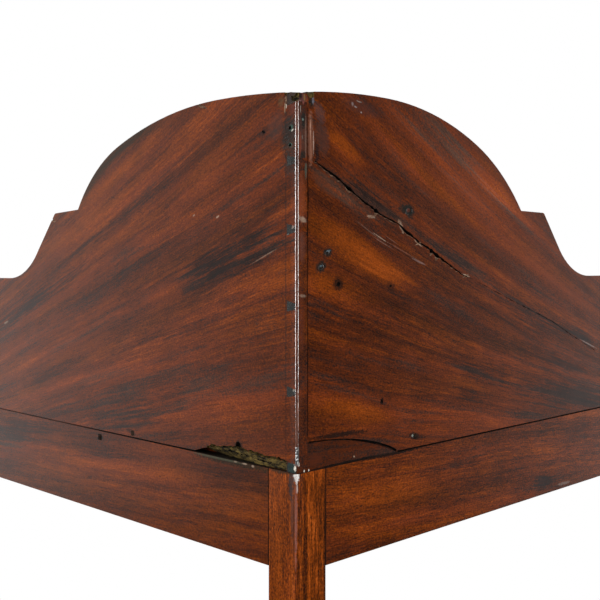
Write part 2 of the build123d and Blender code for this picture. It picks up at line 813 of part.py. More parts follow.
def washstand():
    """Every sub-part by the name of its node."""
    nodes = {**frame_nodes(), **case_nodes(), **drawer_nodes()}
    dividers = nodes["case_divider_left"] + nodes["case_divider_right"]
    for board in ("middle_shelf", "case_floor"):
        nodes[board] -= dividers
    return nodes


os.makedirs("parts", exist_ok=True)
for name, shape in washstand().items():
    export_step(shape, f"parts/{name}.step")
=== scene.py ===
"""The looks of the corner washstand: polished mahogany, brass knobs, old joints and a plain white studio."""

import inspect
import math

import bmesh
import bpy
from mathutils import Matrix, Vector, noise


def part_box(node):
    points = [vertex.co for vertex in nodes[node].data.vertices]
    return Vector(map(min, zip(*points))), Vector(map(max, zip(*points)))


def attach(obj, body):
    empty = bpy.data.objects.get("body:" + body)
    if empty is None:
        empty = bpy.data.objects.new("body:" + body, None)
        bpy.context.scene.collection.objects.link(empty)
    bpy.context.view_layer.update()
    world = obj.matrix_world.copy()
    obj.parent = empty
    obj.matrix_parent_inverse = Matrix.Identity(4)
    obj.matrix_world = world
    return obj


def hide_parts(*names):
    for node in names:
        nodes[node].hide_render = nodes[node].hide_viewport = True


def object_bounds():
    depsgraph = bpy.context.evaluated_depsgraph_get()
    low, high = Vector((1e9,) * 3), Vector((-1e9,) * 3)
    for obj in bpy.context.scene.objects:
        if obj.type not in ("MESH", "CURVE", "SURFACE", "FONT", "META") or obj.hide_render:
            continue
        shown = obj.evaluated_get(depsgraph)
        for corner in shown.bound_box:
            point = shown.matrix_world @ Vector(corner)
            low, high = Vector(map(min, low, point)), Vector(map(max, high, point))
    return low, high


# The frame is in metres. Places on a wall, widths, depths and the wood's figure are in plain millimetres
mm = 0.001
root_half = math.sqrt(0.5)

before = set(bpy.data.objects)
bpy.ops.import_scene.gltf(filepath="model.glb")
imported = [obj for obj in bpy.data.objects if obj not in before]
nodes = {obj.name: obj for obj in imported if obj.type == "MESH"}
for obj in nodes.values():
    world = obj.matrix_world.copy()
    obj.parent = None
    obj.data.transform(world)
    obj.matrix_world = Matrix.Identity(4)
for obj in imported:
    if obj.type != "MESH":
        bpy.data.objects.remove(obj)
cad_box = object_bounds()

# The frame's own places
arris_radius = 1.7 * mm
back_leg_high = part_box("back_leg")[1]
corner_y = back_leg_high.y + arris_radius * (math.sqrt(2) - 1)
joint_line = back_leg_high.z
board_thickness = 9
LEFT, RIGHT = -1, 1

# The camera stands level, straight out from the back corner
camera_distance = 570.7 * mm
camera_aside = -1.8 * mm
camera_height = 965.6 * mm
camera_lens = 56.34
camera_sensor = 36
camera_shift = -0.0545

# The wood's finish, with its relief in millimetres
wood_ior = 1.5
arris_ior = 2.4
dry_wood_ior = 1.3
polish_roughness = 0.07
uneven_roughness = 0.1
end_grain_roughness = 0.06
marked_roughness = 0.08
fibre_relief = 0.01
uneven_relief = 0.16
pore_relief = 0.006

# How much each layer of the wood's variation moves its tone and its warmth
band_tone = 0.8
streak_tone = 0.38
fine_tone = 0.5
mottle_tone = 0.25
pore_tone = 0.16
end_grain_tone = 0.12
slow_warmth = 1.8
ripple_warmth = 1.2
streak_warmth = 1.3

# How far the grain sways across and along itself, and how it feathers the edges of the figure's patches
sway_across = 7
sway_along = 50
streak_feather = 2.8
fibre_feather = 1.8
mottle_feather = 0.8

# Where a patch and a mark fade out, as squared shares of their reach, and how ragged a mark's edge is
patch_fade = (1.1, -0.3)
mark_fade = (1.1, 0.1)
mark_ragged = 3.2
ragged_size = 2.2

# The depths between which marks on the face end, the turns at which a surface counts as end grain or as a
# top, and how much more than a mark a top darkened with dirt and painted shade roughens
face_depth = (2.4, 1.4)
end_grain_turn = (0.75, 0.95)
top_turn = (0.6, 0.9)
top_roughness = 6

# The dents along the worn corner, and how far from it they fade
dent_size = 3
dent_reach = (6, 1.5)

# The meshes' edges
broken_edge_width = 0.4 * mm
broken_edge_angle = math.radians(50)
weld_distance = 0.005 * mm
flat_angle = math.radians(0.2)
crease_angle = math.radians(40)
arris_reach = 3 * mm
arris_half_angle = math.radians(38)


def wall_axes(side):
    """Directions along a wall from the corner, and into the stand from its face."""
    along = Vector((side * root_half, -root_half, 0))
    inward = Vector((-side * root_half, -root_half, 0))
    return along, inward


def on_wall(side, t, z, depth=0):
    """A point on a wall in metres, from millimetres along it, above the joint line and in from its face."""
    along, inward = wall_axes(side)
    return Vector((0, corner_y, joint_line)) + (along * t + inward * depth + Vector((0, 0, z))) * mm


def operator(kind, swapped=False):
    """How a Field writes one of the math node's operations."""
    def write(self, other):
        return self.sketch.math(kind, *((other, self) if swapped else (self, other)))
    return write


class Field:
    """A number that a material's nodes work out at each point of a surface."""

    __add__ = __radd__ = operator("ADD")
    __mul__ = __rmul__ = operator("MULTIPLY")
    __sub__ = operator("SUBTRACT")
    __rsub__ = operator("SUBTRACT", swapped=True)
    __truediv__ = operator("DIVIDE")

    def __init__(self, sketch, socket):
        self.sketch = sketch
        self.socket = socket

    def clamp(self):
        return self.sketch.math("MINIMUM", self.sketch.math("MAXIMUM", self, 0), 1)

    def ramp(self, low, high, first=0, last=1):
        """Goes smoothly from first to last as the field goes from low to high."""
        names = ("Value", "From Min", "From Max", "To Min", "To Max")
        values = dict(zip(names, (self, low, high, first, last)))
        return self.sketch.one("ShaderNodeMapRange", "Result", values, interpolation_type="SMOOTHSTEP")

    def mix(self, first, second):
        """The first colour where the field is 0, and the second where it is 1."""
        return self.sketch.one("ShaderNodeMix", 2, {0: self, 6: first, 7: second}, data_type="RGBA")


class Sketch:
    """Writes the nodes of a material or world from plain formulas."""

    def __init__(self, tree):
        self.tree = tree
        self.tree.nodes.clear()

    @classmethod
    def on(cls, owner):
        """A sketch for a material or a world."""
        owner.use_nodes = True
        return cls(owner.node_tree)

    def node(self, kind, **settings):
        made = self.tree.nodes.new(kind)
        for name, value in settings.items():
            setattr(made, name, value)
        return made

    def feed(self, socket, value):
        """Gives an input a field, a number or a screen colour."""
        if isinstance(value, Field):
            self.tree.links.new(value.socket, socket)
        else:
            socket.default_value = rgb(*value) if isinstance(value, tuple) else value

    def one(self, kind, output, values, **settings):
        """One output of a new node, from the values of its inputs by name or number."""
        made = self.node(kind, **settings)
        for place, value in values.items():
            self.feed(made.inputs[place], value)
        return Field(self, made.outputs[output])

    def math(self, operation, *values):
        return self.one("ShaderNodeMath", 0, dict(enumerate(values)), operation=operation)

    def exp(self, value):
        return self.math("EXPONENT", value)

    def given(self, output):
        """The parts of one of the surface's own vectors, such as Object for its place."""
        source = self.node("ShaderNodeTexCoord")
        made = self.node("ShaderNodeSeparateXYZ")
        self.tree.links.new(source.outputs[output], made.inputs[0])
        return [Field(self, socket) for socket in made.outputs]

    def noise(self, x, y, z, detail, rough, seed):
        """Noise from 0 to 1 with features one unit across."""
        place = self.one("ShaderNodeCombineXYZ", 0, {0: x, 1: y, 2: z})
        values = {"Vector": place, "W": seed, "Scale": 1, "Detail": detail, "Roughness": rough}
        return self.one("ShaderNodeTexNoise", "Fac", values, noise_dimensions="4D")

    def scale_of_colours(self, value, colours):
        """Screen colours spread evenly from value 0 to value 1."""
        made = self.node("ShaderNodeValToRGB")
        self.feed(made.inputs[0], value)
        stops = made.color_ramp.elements
        while len(stops) < len(colours):
            stops.new(0.5)
        for index, colour in enumerate(colours):
            stops[index].position = index / (len(colours) - 1)
            stops[index].color = rgb(*colour)
        return Field(self, made.outputs[0])

    def use(self, shared, *values):
        """Puts in one of the shared blocks, and gives its outputs."""
        made = self.node("ShaderNodeGroup")
        made.node_tree = shared
        for socket, value in zip(made.inputs, values):
            self.feed(socket, value)
        return [Field(self, socket) for socket in made.outputs]

    def surface(self, colour, roughness, height, **constants):
        """A surface with its colour, roughness and relief, whose height is in millimetres."""
        normal = self.one("ShaderNodeBump", "Normal", {"Distance": mm, "Height": height})
        values = {"Base Color": colour, "Roughness": roughness, "Normal": normal, **constants}
        self.end("ShaderNodeBsdfPrincipled", values, "ShaderNodeOutputMaterial")

    def end(self, kind, values, output):
        """Leads a shader to the material's or the world's output."""
        self.feed(self.node(output).inputs["Surface"], self.one(kind, 0, values))


def block(outputs):
    """Turns a function that writes nodes, from the inputs it names to these outputs, into a shared block."""
    def make(write):
        tree = bpy.data.node_groups.new(write.__name__, "ShaderNodeTree")
        inputs = list(inspect.signature(write).parameters)[1:]
        for names, way in ((inputs, "INPUT"), (outputs.split(), "OUTPUT")):
            for name in names:
                kind = "NodeSocketColor" if name in ("colour", "ink") else "NodeSocketFloat"
                tree.interface.new_socket(name, in_out=way, socket_type=kind)
        sketch = Sketch(tree)
        source = sketch.node("NodeGroupInput")
        results = write(sketch, *[Field(sketch, socket) for socket in source.outputs if socket.name])
        output = sketch.node("NodeGroupOutput")
        for socket, result in zip(output.inputs, results):
            sketch.feed(socket, result)
        return tree
    return make


def new_material(name):
    material = bpy.data.materials.new(name)
    return material, Sketch.on(material)


def rgb(red, green, blue):
    """A colour given as it looks on a screen, from 0 to 255."""
    def linear(part):
        share = part / 255
        if share <= 0.04045:
            return share / 12.92
        return ((share + 0.055) / 1.055) ** 2.4
    return (linear(red), linear(green), linear(blue), 1)


# Colours of the polished mahogany, dark to light
orange_wood = (
    (32, 16, 7), (54, 26, 9), (84, 38, 10), (121, 55, 12), (158, 73, 18), (194, 99, 34),
)
red_wood = (
    (34, 16, 11), (50, 23, 13), (77, 34, 14), (108, 47, 19), (138, 62, 27), (168, 82, 42),
)
grey_wood = (
    (30, 20, 17), (40, 27, 23), (54, 36, 30), (74, 50, 39), (98, 67, 52), (122, 90, 70),
)


def fan_flow(base, by_height, by_length):
    """Grain whose slope grows with height and length: gives its place along and across from t and z."""
    lift = by_length / by_height
    shift = base / by_height - lift / by_height
    lean = 0.3

    def flow(t, z, exp):
        across = (z + t * lift + shift) * exp(t * by_height)
        return t - z * lean, across
    return flow


def straight_flow(slope):
    def flow(t, z, exp):
        return t, z + t * slope
    return flow


def upright_flow(t, z, exp):
    return z, t


tail_flow = fan_flow(0.13, 0.0014, 0.0004)
pin_flow = fan_flow(0.12, 0.0019, 0.0002)
rail_flow = straight_flow(0.06)


def wall_place(side):
    """Millimetres along a wall, above the joint line and in from the wall's face."""
    def place(sketch):
        x, y, z = sketch.given("Object")
        from_corner = corner_y - y
        t = (x * side + from_corner) * (root_half / mm)
        depth = (from_corner - x * side) * (root_half / mm)
        return t, (z - joint_line) / mm, depth
    return place


def level_place(sketch):
    x, y, z = sketch.given("Object")
    return x / mm, y / mm, z / mm


def front_place(sketch):
    x, y, z = level_place(sketch)
    return x, z, y


# Patches of the figure: millimetres along the wall and above the joint line, fading lengths back and ahead,
# half width, how much lighter, how much warmer
tail_patches = (
    (88, 120, 95, 26, 15, -0.24, -0.25), (40, 143, 56, 80, 15, -0.13, -0.2),
    (58, 105, 36, 20, 8, -0.12, -0.15), (116, 111, 8, 50, 11, 0.1, 0.3),
    (150, 180, 110, 130, 6, -0.11, -0.15), (165, 194, 80, 80, 4, -0.09, -0.1),
    (178, 202, 90, 70, 12, 0.06, 0.3), (222, 184, 50, 40, 12, 0.07, 0.3),
    (250, 155, 90, 90, 17, 0.08, 0.25), (70, 195, 64, 64, 20, 0.08, 0.25), (151, 145, 60, 5, 4, 0.12, 0.2),
    (148, 136, 56, 110, 4.5, -0.1, -0.15), (100, 84, 60, 50, 6, -0.1, -0.12),
    (150, 73, 60, 60, 5, -0.1, -0.12), (165, 62, 60, 60, 4, -0.07, -0.1),
    (140, 34, 90, 90, 7, -0.09, -0.12), (185, 11, 110, 110, 13, -0.09, -0.3),
    (45, 30, 62, 74, 30, 0.05, 0.2), (320, 94, 110, 120, 14, -0.12, -0.2),
    (311, 98, 40, 34, 9, -0.08, -0.15), (305, 33, 80, 14, 9, -0.09, -0.15), (245, 60, 70, 70, 8, 0.07, 0.2),
    (35, 210, 18, 36, 4.5, -0.12, -0.2), (330, 60, 110, 140, 60, 0.05, 0),
)
pin_patches = (
    (38, 204, 22, 40, 9, 0.22, 0.7), (72, 198, 60, 120, 7, -0.05, -0.15), (94, 204, 44, 60, 9, 0.16, -0.1),
    (44, 219, 30, 44, 8, 0.12, -0.15), (123, 183, 50, 70, 8, 0.11, -0.15),
    (200, 146, 60, 70, 9, 0.08, -0.15), (37, 172, 16, 22, 5, 0.12, -0.1),
    (210, 165, 210, 190, 70, 0.1, 0.1), (230, 140, 185, 220, 15, 0.1, 0.2),
    (300, 105, 56, 62, 12, 0.08, 0.15), (165, 214, 76, 86, 9, -0.06, -0.1),
    (150, 205, 110, 110, 26, 0.13, -0.2), (215, 190, 90, 90, 26, 0.08, -0.15),
    (66, 173, 30, 36, 6, -0.16, -0.35), (150, 138, 50, 50, 8, -0.14, -0.35),
    (290, 83, 130, 120, 6, -0.12, -0.35), (275, 78, 50, 54, 11, -0.08, -0.3),
    (345, 68, 30, 30, 11, -0.08, -0.3), (30, 177, 22, 50, 9, 0.16, -0.1), (62, 134, 66, 62, 15, 0.22, 0.7),
    (85, 122, 40, 34, 11, 0.14, 0.5), (30, 115, 36, 50, 13, 0.09, 0.5), (120, 80, 120, 130, 22, -0.05, 0),
    (40, 68, 36, 60, 12, 0.08, -0.1), (200, 45, 50, 60, 10, -0.08, -0.3), (180, 30, 24, 24, 8, -0.07, -0.3),
    (50, 32, 60, 66, 13, 0.11, 0.45), (320, 25, 110, 150, 38, -0.08, -0.3), (360, 30, 32, 52, 9, 0.08, 0),
    (225, 78, 50, 50, 8, 0.08, 0.2), (213, 6, 24, 30, 8, 0.1, 0.3), (372, 106, 24, 34, 8, 0.1, 0.3),
    (212, 188, 40, 40, 16, 0.1, 0.2),
)
tail_rail_patches = (
    (55, -9, 50, 46, 6, -0.1, -0.2), (125, -18, 50, 50, 9, 0.08, 0.3), (180, -34, 90, 90, 5, -0.08, -0.1),
    (230, -16, 70, 60, 5, -0.08, -0.1), (340, -14, 66, 76, 12, -0.06, -0.3),
)
pin_rail_patches = (
    (285, -52, 26, 26, 8, -0.12, -0.3), (90, -30, 76, 76, 12, 0.06, 0.2),
    (200, -20, 90, 90, 6, -0.08, -0.2), (345, -25, 90, 100, 30, -0.07, -0.3),
)
back_leg_patches = (
    (0, -60, 900, 60, 2.6, -0.26, -0.1), (20, -60, 60, 90, 4, 0.08, 0.1),
)

# Small marks on the face: millimetres along and above the joint line, half length, half height, slope,
# screen colour and strength
teal = (22, 28, 25)
# Near-black marks at dark spots, holes and joint lines
soot = (20, 13, 9)
mauve = (70, 48, 42)
chip = (178, 152, 130)
olive = (44, 34, 16)
filler = (140, 92, 72)
# Near-white specks: pale wear on chipped bits, with painted highlights where they catch the light
worn = (236, 226, 210)
pin_heights = (49, 102, 149, 191)
tail_marks = (
    (7, 206, 8, 17, 0, teal, 0.8), (4, 223, 4, 5, 0, (92, 38, 24), 0.7), (6, 186, 6, 5, 0, teal, 0.6),
    (4, 230, 8, 5, 0, soot, 0.8), (9.4, 227, 0.8, 4.4, 0.5, worn, 0.75),
    (10.6, 224, 0.7, 3.4, 0.4, (170, 150, 120), 0.6), (14, 228, 3, 4, 0.2, (96, 74, 44), 0.5),
    (2.4, 227.6, 1, 1.4, 0.6, worn, 0.8), (5.2, 211, 2.2, 2.2, 0, (56, 88, 76), 0.9),
    (5.8, 200.5, 1.6, 1.6, 0, (92, 132, 120), 0.9), (4, 209.5, 1.2, 0.8, 0.5, worn, 0.7),
    (19, 213, 9, 10, 0.3, mauve, 0.45), (30, 211, 5, 4, 0.4, soot, 0.55),
    (9.8, 120, 0.6, 160, 0, soot, 0.55), (75, 159, 1.8, 0.9, 0.4, chip, 0.7),
    (100, 161, 1.2, 0.8, 0.4, chip, 0.6), (364, 77, 5, 1.2, 0.3, chip, 0.4),
    (29, 132.7, 14, 0.5, 0.4, chip, 0.35), (54, 10, 4.5, 4, 0, soot, 1),
    (0.5, 4.8, 0.9, 2.4, 0.6, worn, 0.95), (4.4, 3, 3.4, 4, 0, (20, 46, 44), 1),
    (2.6, 4.2, 1, 1.8, 0.4, (150, 160, 158), 0.6), (174, 4, 7, 2.2, -0.2, soot, 0.7),
)
pin_marks = (
    (11.8, 205, 2.9, 19, 0, filler, 0.85), (10.4, 203, 0.6, 14, 0, (74, 44, 34), 0.8),
    (13, 208, 0.5, 12, 0, (64, 38, 32), 0.8), (11.6, 212, 0.4, 9, 0, (176, 134, 114), 0.9),
    (14.4, 203, 0.5, 9, 0, (176, 150, 136), 0.8), (12.5, 228, 3.6, 5, 0, teal, 0.9),
    (14, 229, 1.3, 3.2, 0.4, (120, 120, 130), 0.6), (17.5, 197, 2.2, 8, 0.5, (26, 20, 22), 0.75),
    (22, 207, 8, 13, 0.5, mauve, 0.6), (20, 222, 6, 7, 0.5, (74, 60, 60), 0.5),
    (24, 178, 14, 7, 0.5, (86, 56, 42), 0.4), (60, 230, 24, 6, 0.1, (62, 40, 36), 0.5),
    (50.5, 231, 1.3, 1.8, 0.2, (150, 138, 136), 0.5), (53.5, 229.6, 1.8, 0.7, 0.2, (170, 160, 156), 0.5),
    (57, 233.4, 3.2, 0.6, 0.1, (160, 148, 140), 0.5), (59, 226.6, 1, 0.7, 0.2, (180, 170, 164), 0.6),
    (104, 165.5, 7.5, 3.4, 0.1, teal, 0.85), (109, 164.5, 6.6, 5.6, 0.1, teal, 1),
    (108.4, 165, 2.6, 1.9, 0.1, (84, 40, 27), 1), (27, 135, 5, 3.6, -0.2, teal, 0.95),
    # The bluish specks in the two dents are a painted reflection
    (21, 126, 5.4, 4.2, -0.2, teal, 0.95), (28, 136, 1.8, 0.7, -0.2, (110, 128, 138), 0.6),
    (22, 126.5, 1.4, 1, -0.2, (100, 120, 130), 0.6), (37, 115, 5.6, 5, 0, soot, 0.85),
    (89, 113, 6, 4, 0.2, soot, 0.5), (80, 36, 2.2, 3, 0, soot, 0.85), (78, 145.5, 8, 0.5, 0.42, chip, 0.6),
    (82, 141.5, 12, 0.4, 0.38, (150, 118, 106), 0.4), (90, 144, 9, 0.4, 0.42, (140, 104, 92), 0.35),
    (104, 136, 24, 0.4, 0.36, (140, 104, 92), 0.35), (4.2, 228.6, 5, 5.4, 0, (88, 58, 56), 0.8),
    (2.2, 230.6, 2.8, 2.6, 0, soot, 0.9), (6.4, 229.6, 0.8, 3.2, 0.2, (132, 104, 52), 0.6),
    (4.6, 225.8, 2.6, 0.9, 0.6, (190, 140, 136), 0.6), (120, 129.5, 9, 0.8, 0.3, (134, 108, 102), 0.6),
    (66, 150, 14, 0.5, 0.5, (130, 96, 82), 0.5), (69, 159, 5, 1.1, 0.1, chip, 0.55),
    (100, 154, 3, 3.4, 1, chip, 0.5), (119, 142.5, 5, 1, 0.5, chip, 0.6),
    (176, 119.5, 6, 0.9, 0.2, chip, 0.8), (115, 8.5, 9, 3, 0.2, soot, 0.7),
    # The pale grey line under the far crack is a painted highlight on its lower lip
    (113, 9, 1.8, 1.1, 0, (140, 148, 138), 0.8), (362, 58, 16, 0.8, 0.33, (150, 142, 138), 0.5),
    (40, 19, 32, 2, 0.02, soot, 0.8),
)
# Marks on the boards' end grain, where the first number runs along the other wall
tail_end_marks = (
    (4.5, 207, 5.5, 20, 0, mauve, 0.65), (2.8, 201, 1.2, 9, 0, (122, 58, 36), 0.7),
    (5.4, 216, 2.2, 7, 0, teal, 0.85), (5, 194, 2.8, 4, 0, teal, 0.8),
    (7.4, 205, 0.8, 16, 0, (120, 92, 78), 0.6), (5, 216, 1, 1, 0, (110, 130, 122), 0.7),
    (4.6, 205, 0.6, 1.8, 0.4, (120, 110, 100), 0.6), (3, 222, 0.5, 3, 0.3, (150, 140, 130), 0.6),
    (7.6, 186, 1.2, 7, 0, (66, 76, 66), 0.8), (4, 168, 4.4, 18, 0, (134, 62, 28), 0.6),
    (4.4, 138, 3.4, 12, 0, (112, 62, 46), 0.5), (4, 92, 3.6, 20, 0, (104, 44, 22), 0.4),
    (4.4, 155, 4.4, 2, 0.2, chip, 0.55), (5, 108, 3.2, 1.2, 0.1, chip, 0.35),
    (4.5, 230, 4.6, 4.6, 0, soot, 0.85), (5.4, 227.5, 1.2, 2.6, 0.5, (150, 84, 74), 0.6),
)
pin_end_marks = tuple((5.5, height, 7, 5, 0, teal, 0.95) for height in pin_heights) + (
    (3.4, 150.5, 1.6, 1.4, 0.5, (176, 150, 138), 0.6), (8, 145.6, 1.4, 0.8, 0, (120, 132, 128), 0.6),
    (3, 50.5, 1.2, 1, 0.3, (170, 160, 150), 0.6), (4.5, 229, 6, 6, 0, (40, 30, 18), 0.85),
)
wedge_marks = (
    (50, 0.3, 49, 1.3, 0, soot, 1), (6.2, 0.8, 0.7, 1, 0, worn, 0.9), (10.2, 0.8, 0.6, 1, 0, worn, 0.9),
    (16, 6.5, 7, 5, 0, (84, 38, 20), 0.6), (52, 3.2, 0.8, 0.7, 0, chip, 0.8),
)
wedge_end_marks = (
    (4.5, 2.4, 5.4, 5.4, 0, (20, 46, 44), 1), (1.8, 3, 1.3, 2.2, 0.1, worn, 0.9),
)
tail_rail_marks = (
    (215, -5.5, 5.5, 2.2, 0.25, soot, 0.9), (56, -1.6, 52, 3, 0, olive, 0.9),
    (74, -1, 30, 1, 0, (96, 96, 74), 0.7), (48, -1, 3, 0.8, 0, chip, 0.8),
    (40, -1.4, 1.6, 0.9, 0, chip, 0.8), (57, -0.8, 2, 0.7, 0, chip, 0.7), (70, -5, 42, 8, 0, soot, 0.4),
)
pin_rail_marks = (
    (286, -51, 13, 5, 0.05, (30, 28, 30), 0.5), (319, -57.5, 13, 1.5, 0.02, (128, 112, 104), 0.6),
    (90, -0.4, 40, 1.4, 0, soot, 0.9),
)
leg_marks = (
    # The white marks at the top of the corner are a painted highlight on its worn facet
    *((0.8, -1 - step * 1.6, 3.6 * 0.55 ** step, 1.2, 0.3, (238, 236, 232), 0.95) for step in range(4)),
    (0.5, -9, 0.4, 4, 0.1, (190, 176, 168), 0.8), (2.4, -4.2, 0.7, 1.4, 0.2, (120, 120, 118), 0.7),
    (5.2, -7, 2.8, 12, 0.1, (40, 42, 44), 0.8), (4.2, -26, 1.8, 18, 0.05, (70, 46, 38), 0.6),
    (1.2, -30, 1, 34, 0, (150, 96, 84), 0.7), (2.8, -36, 1, 30, 0, (60, 24, 14), 0.7),
    (14, 0, 12, 2.6, 0, olive, 0.8),
)


# The dirty band inside the tail board's round rim: the rim's centre, then where the band fades in or out,
# by the distance from that centre, along the wall and above the joint line, and the colour of dirt and
# painted shade on tops
rim_t, rim_z = 124.2, 65.8
rim_band = (155.4, 161.4)
rim_start = (110, 175)
rim_end = (262, 240)
rim_foot = (165, 185)
rim_strength = 0.7
top_dirt = (14, 10, 7)

# The rubbed back corner's two colours, and the chips low on it: their dark colour and the white of their
# painted glints, the height of their middle above the joint line and how far they reach from it
arris_dark = (52, 22, 15)
arris_pale = (136, 90, 74)
chip_dark = (18, 12, 12)
chip_white = (236, 234, 230)
chips_height = 10.5
chips_reach = 6


@block("swayed_along swayed_across wide streak fibre ripple pore warmth mottle")
def wood_layers(sketch, along, across, through, seed):
    """The wood's own variation, from broad bands to pores. Its grain sways a little."""
    def layer(length, width, detail, rough, turn, aside):
        """Noise with features of a length along the grain and a width across it."""
        return sketch.noise(along / length, aside / width, through / width, detail, rough, seed + turn)

    sway = layer(80, 40, 2, 0.5, 1.7, across) - 0.5
    swayed = across + sway * sway_across
    wide = layer(260, 24, 3, 0.55, 3.1, swayed)
    streak = layer(90, 3.6, 3, 0.6, 5.3, swayed)
    fibre = layer(16, 0.9, 3, 0.65, 7.9, swayed)
    ripple = layer(1.7, 1.1, 2, 0.7, 9.2, swayed)
    pore = layer(4, 0.5, 1, 0.5, 11.4, swayed).ramp(0.58, 0.72)
    warmth = layer(120, 22, 2, 0.5, 13.6, swayed)
    mottle = layer(26, 20, 3, 0.6, 15.8, swayed)
    return along + sway * sway_along, swayed, wide, streak, fibre, ripple, pore, warmth, mottle


@block("tone warm")
def wood_patch(sketch, along, across, feathered, tone, warm, at_along, at_across, back, ahead, width,
               lighter, warmer):
    """One patch of the figure over the wood's tone and warmth, drawn out along the grain."""
    forward = (along - at_along) / ahead
    behind = (at_along - along) / back
    away = sketch.math("MAXIMUM", forward, behind)
    aside = (across - at_across) / width
    strength = (away * away + aside * aside + feathered).ramp(*patch_fade)
    return tone + strength * lighter, warm + strength * warmer


@block("colour marked")
def wood_mark(sketch, beside, z, within, ragged, marked, at_beside, at_z, half_length, half_height,
              slope, opacity, colour, ink):
    """One small mark over a colour. It also adds to how much is marked."""
    aside = beside - at_beside
    above = (z - at_z + aside * slope) / half_height
    reach = aside / half_length
    strength = (reach * reach + above * above + ragged).ramp(*mark_fade) * within * opacity
    return strength.mix(colour, ink), sketch.math("MAXIMUM", strength, marked)


def wood_colour(sketch, tone, warm):
    """The polished wood's colour, from its tone and from how warm it is."""
    hot = warm.ramp(0.5, 1)
    cold = warm.ramp(0.5, 0)
    red = sketch.scale_of_colours(tone, red_wood)
    colour = hot.mix(red, sketch.scale_of_colours(tone, orange_wood))
    return cold.mix(colour, sketch.scale_of_colours(tone, grey_wood))


def rim_dirt(sketch, t, z, colour):
    """Old dirt in a band along the round rim of the tail board."""
    from_t = t - rim_t
    from_z = z - rim_z
    reach = sketch.math("SQRT", from_t * from_t + from_z * from_z)
    band = reach.ramp(*rim_band) * t.ramp(*rim_start) * t.ramp(*rim_end)
    band = band * z.ramp(*rim_foot)
    return (band * rim_strength).mix(colour, olive)


def mahogany(name, place, flow, axis, seed, tone_level=0.5, warm_level=0.5, contrast=1, fine=1,
             patches=(), marks=(), end_marks=(), dirty_rim=False, worn_arris=0, dirty_top=False):
    """Polished mahogany. place and flow lay the grain, and axis is the grain's direction in the stand."""
    material, sketch = new_material(name)
    t, z, depth = place(sketch)
    along, across = flow(t, z, sketch.exp)
    along, across, wide, streak, fibre, ripple, pore, warmth, mottle = sketch.use(
        wood_layers, along, across, depth, seed
    )
    tone = tone_level + (wide - 0.5) * (band_tone * contrast) + (streak - 0.5) * (streak_tone * contrast)
    tone = tone + (fibre - 0.5) * (fine_tone * fine) + (ripple - 0.5) * (fine_tone * fine)
    tone = tone + (mottle - 0.5) * mottle_tone
    warm = warm_level + (warmth - 0.5) * slow_warmth + (ripple - 0.5) * ripple_warmth
    warm = warm + (streak - 0.5) * streak_warmth
    feathered = (streak - 0.5) * streak_feather + (fibre - 0.5) * fibre_feather
    feathered = feathered + (mottle - 0.5) * mottle_feather
    for at_t, at_z, *shape in patches:
        centre = flow(at_t, at_z, math.exp)
        tone, warm = sketch.use(wood_patch, along, across, feathered, tone, warm, *centre, *shape)
    facing = sketch.given("Normal")
    end_grain = facing[0] * axis[0] + facing[1] * axis[1] + facing[2] * axis[2]
    end_grain = sketch.math("ABSOLUTE", end_grain).ramp(*end_grain_turn)
    tone = (tone - pore * (pore_tone * fine) - end_grain * end_grain_tone).clamp()
    colour = wood_colour(sketch, tone, warm.clamp())
    if dirty_rim:
        colour = rim_dirt(sketch, t, z, colour)
    marked = 0
    ragged = sketch.noise(t / ragged_size, z / ragged_size, depth / ragged_size, 5, 0.75, seed)
    ragged = (ragged - 0.5) * mark_ragged
    patchy = 0.55 + fibre * 0.9
    on_face = depth.ramp(*face_depth) * patchy
    faces = ((marks, t, on_face), (end_marks, depth, end_grain * patchy))
    for table, beside, within in faces:
        for *shape, ink, opacity in table:
            colour, marked = sketch.use(
                wood_mark, beside, z, within, ragged, marked, *shape, opacity, colour, ink
            )
    # Upward faces, such as the rail tops seen in the gap under the broken edge, go nearly black: dirt and
    # painted shade
    if dirty_top:
        upward = facing[2].ramp(*top_turn)
        colour = upward.mix(colour, top_dirt)
        marked = sketch.math("MAXIMUM", upward * top_roughness, marked)
    roughness = polish_roughness + mottle * uneven_roughness + pore * uneven_roughness
    roughness = roughness + end_grain * end_grain_roughness + marked * marked_roughness
    height = (fibre - 0.5) * fibre_relief + (mottle - 0.5) * uneven_relief - pore * pore_relief
    if worn_arris:
        near = (t + depth).ramp(*dent_reach)
        dents = sketch.noise(z / dent_size, t / dent_size, depth / dent_size, 3, 0.6, seed)
        height = height + dents * near * worn_arris
    sketch.surface(colour, roughness, height, IOR=wood_ior)
    return name, material


def rough_wood(name, low, high, grain_length, seed, roughness=0.8):
    """Broken or unpolished wood, in two colours along the right wall's grain."""
    material, sketch = new_material(name)
    x, y, z = level_place(sketch)
    fibre = sketch.noise((x - y) / grain_length, z / 0.7, (x + y) / 0.9, 3, 0.65, seed)
    blotch = sketch.noise(x / 6, y / 6, z / 3, 3, 0.6, seed + 4)
    tone = (0.3 + (fibre - 0.5) * 2.4 + (blotch - 0.5) * 2.2).clamp()
    height = fibre * 0.25 + blotch * 0.2
    sketch.surface(
        tone.mix(low, high), roughness + blotch * 0.1, height, IOR=dry_wood_ior
    )
    return name, material


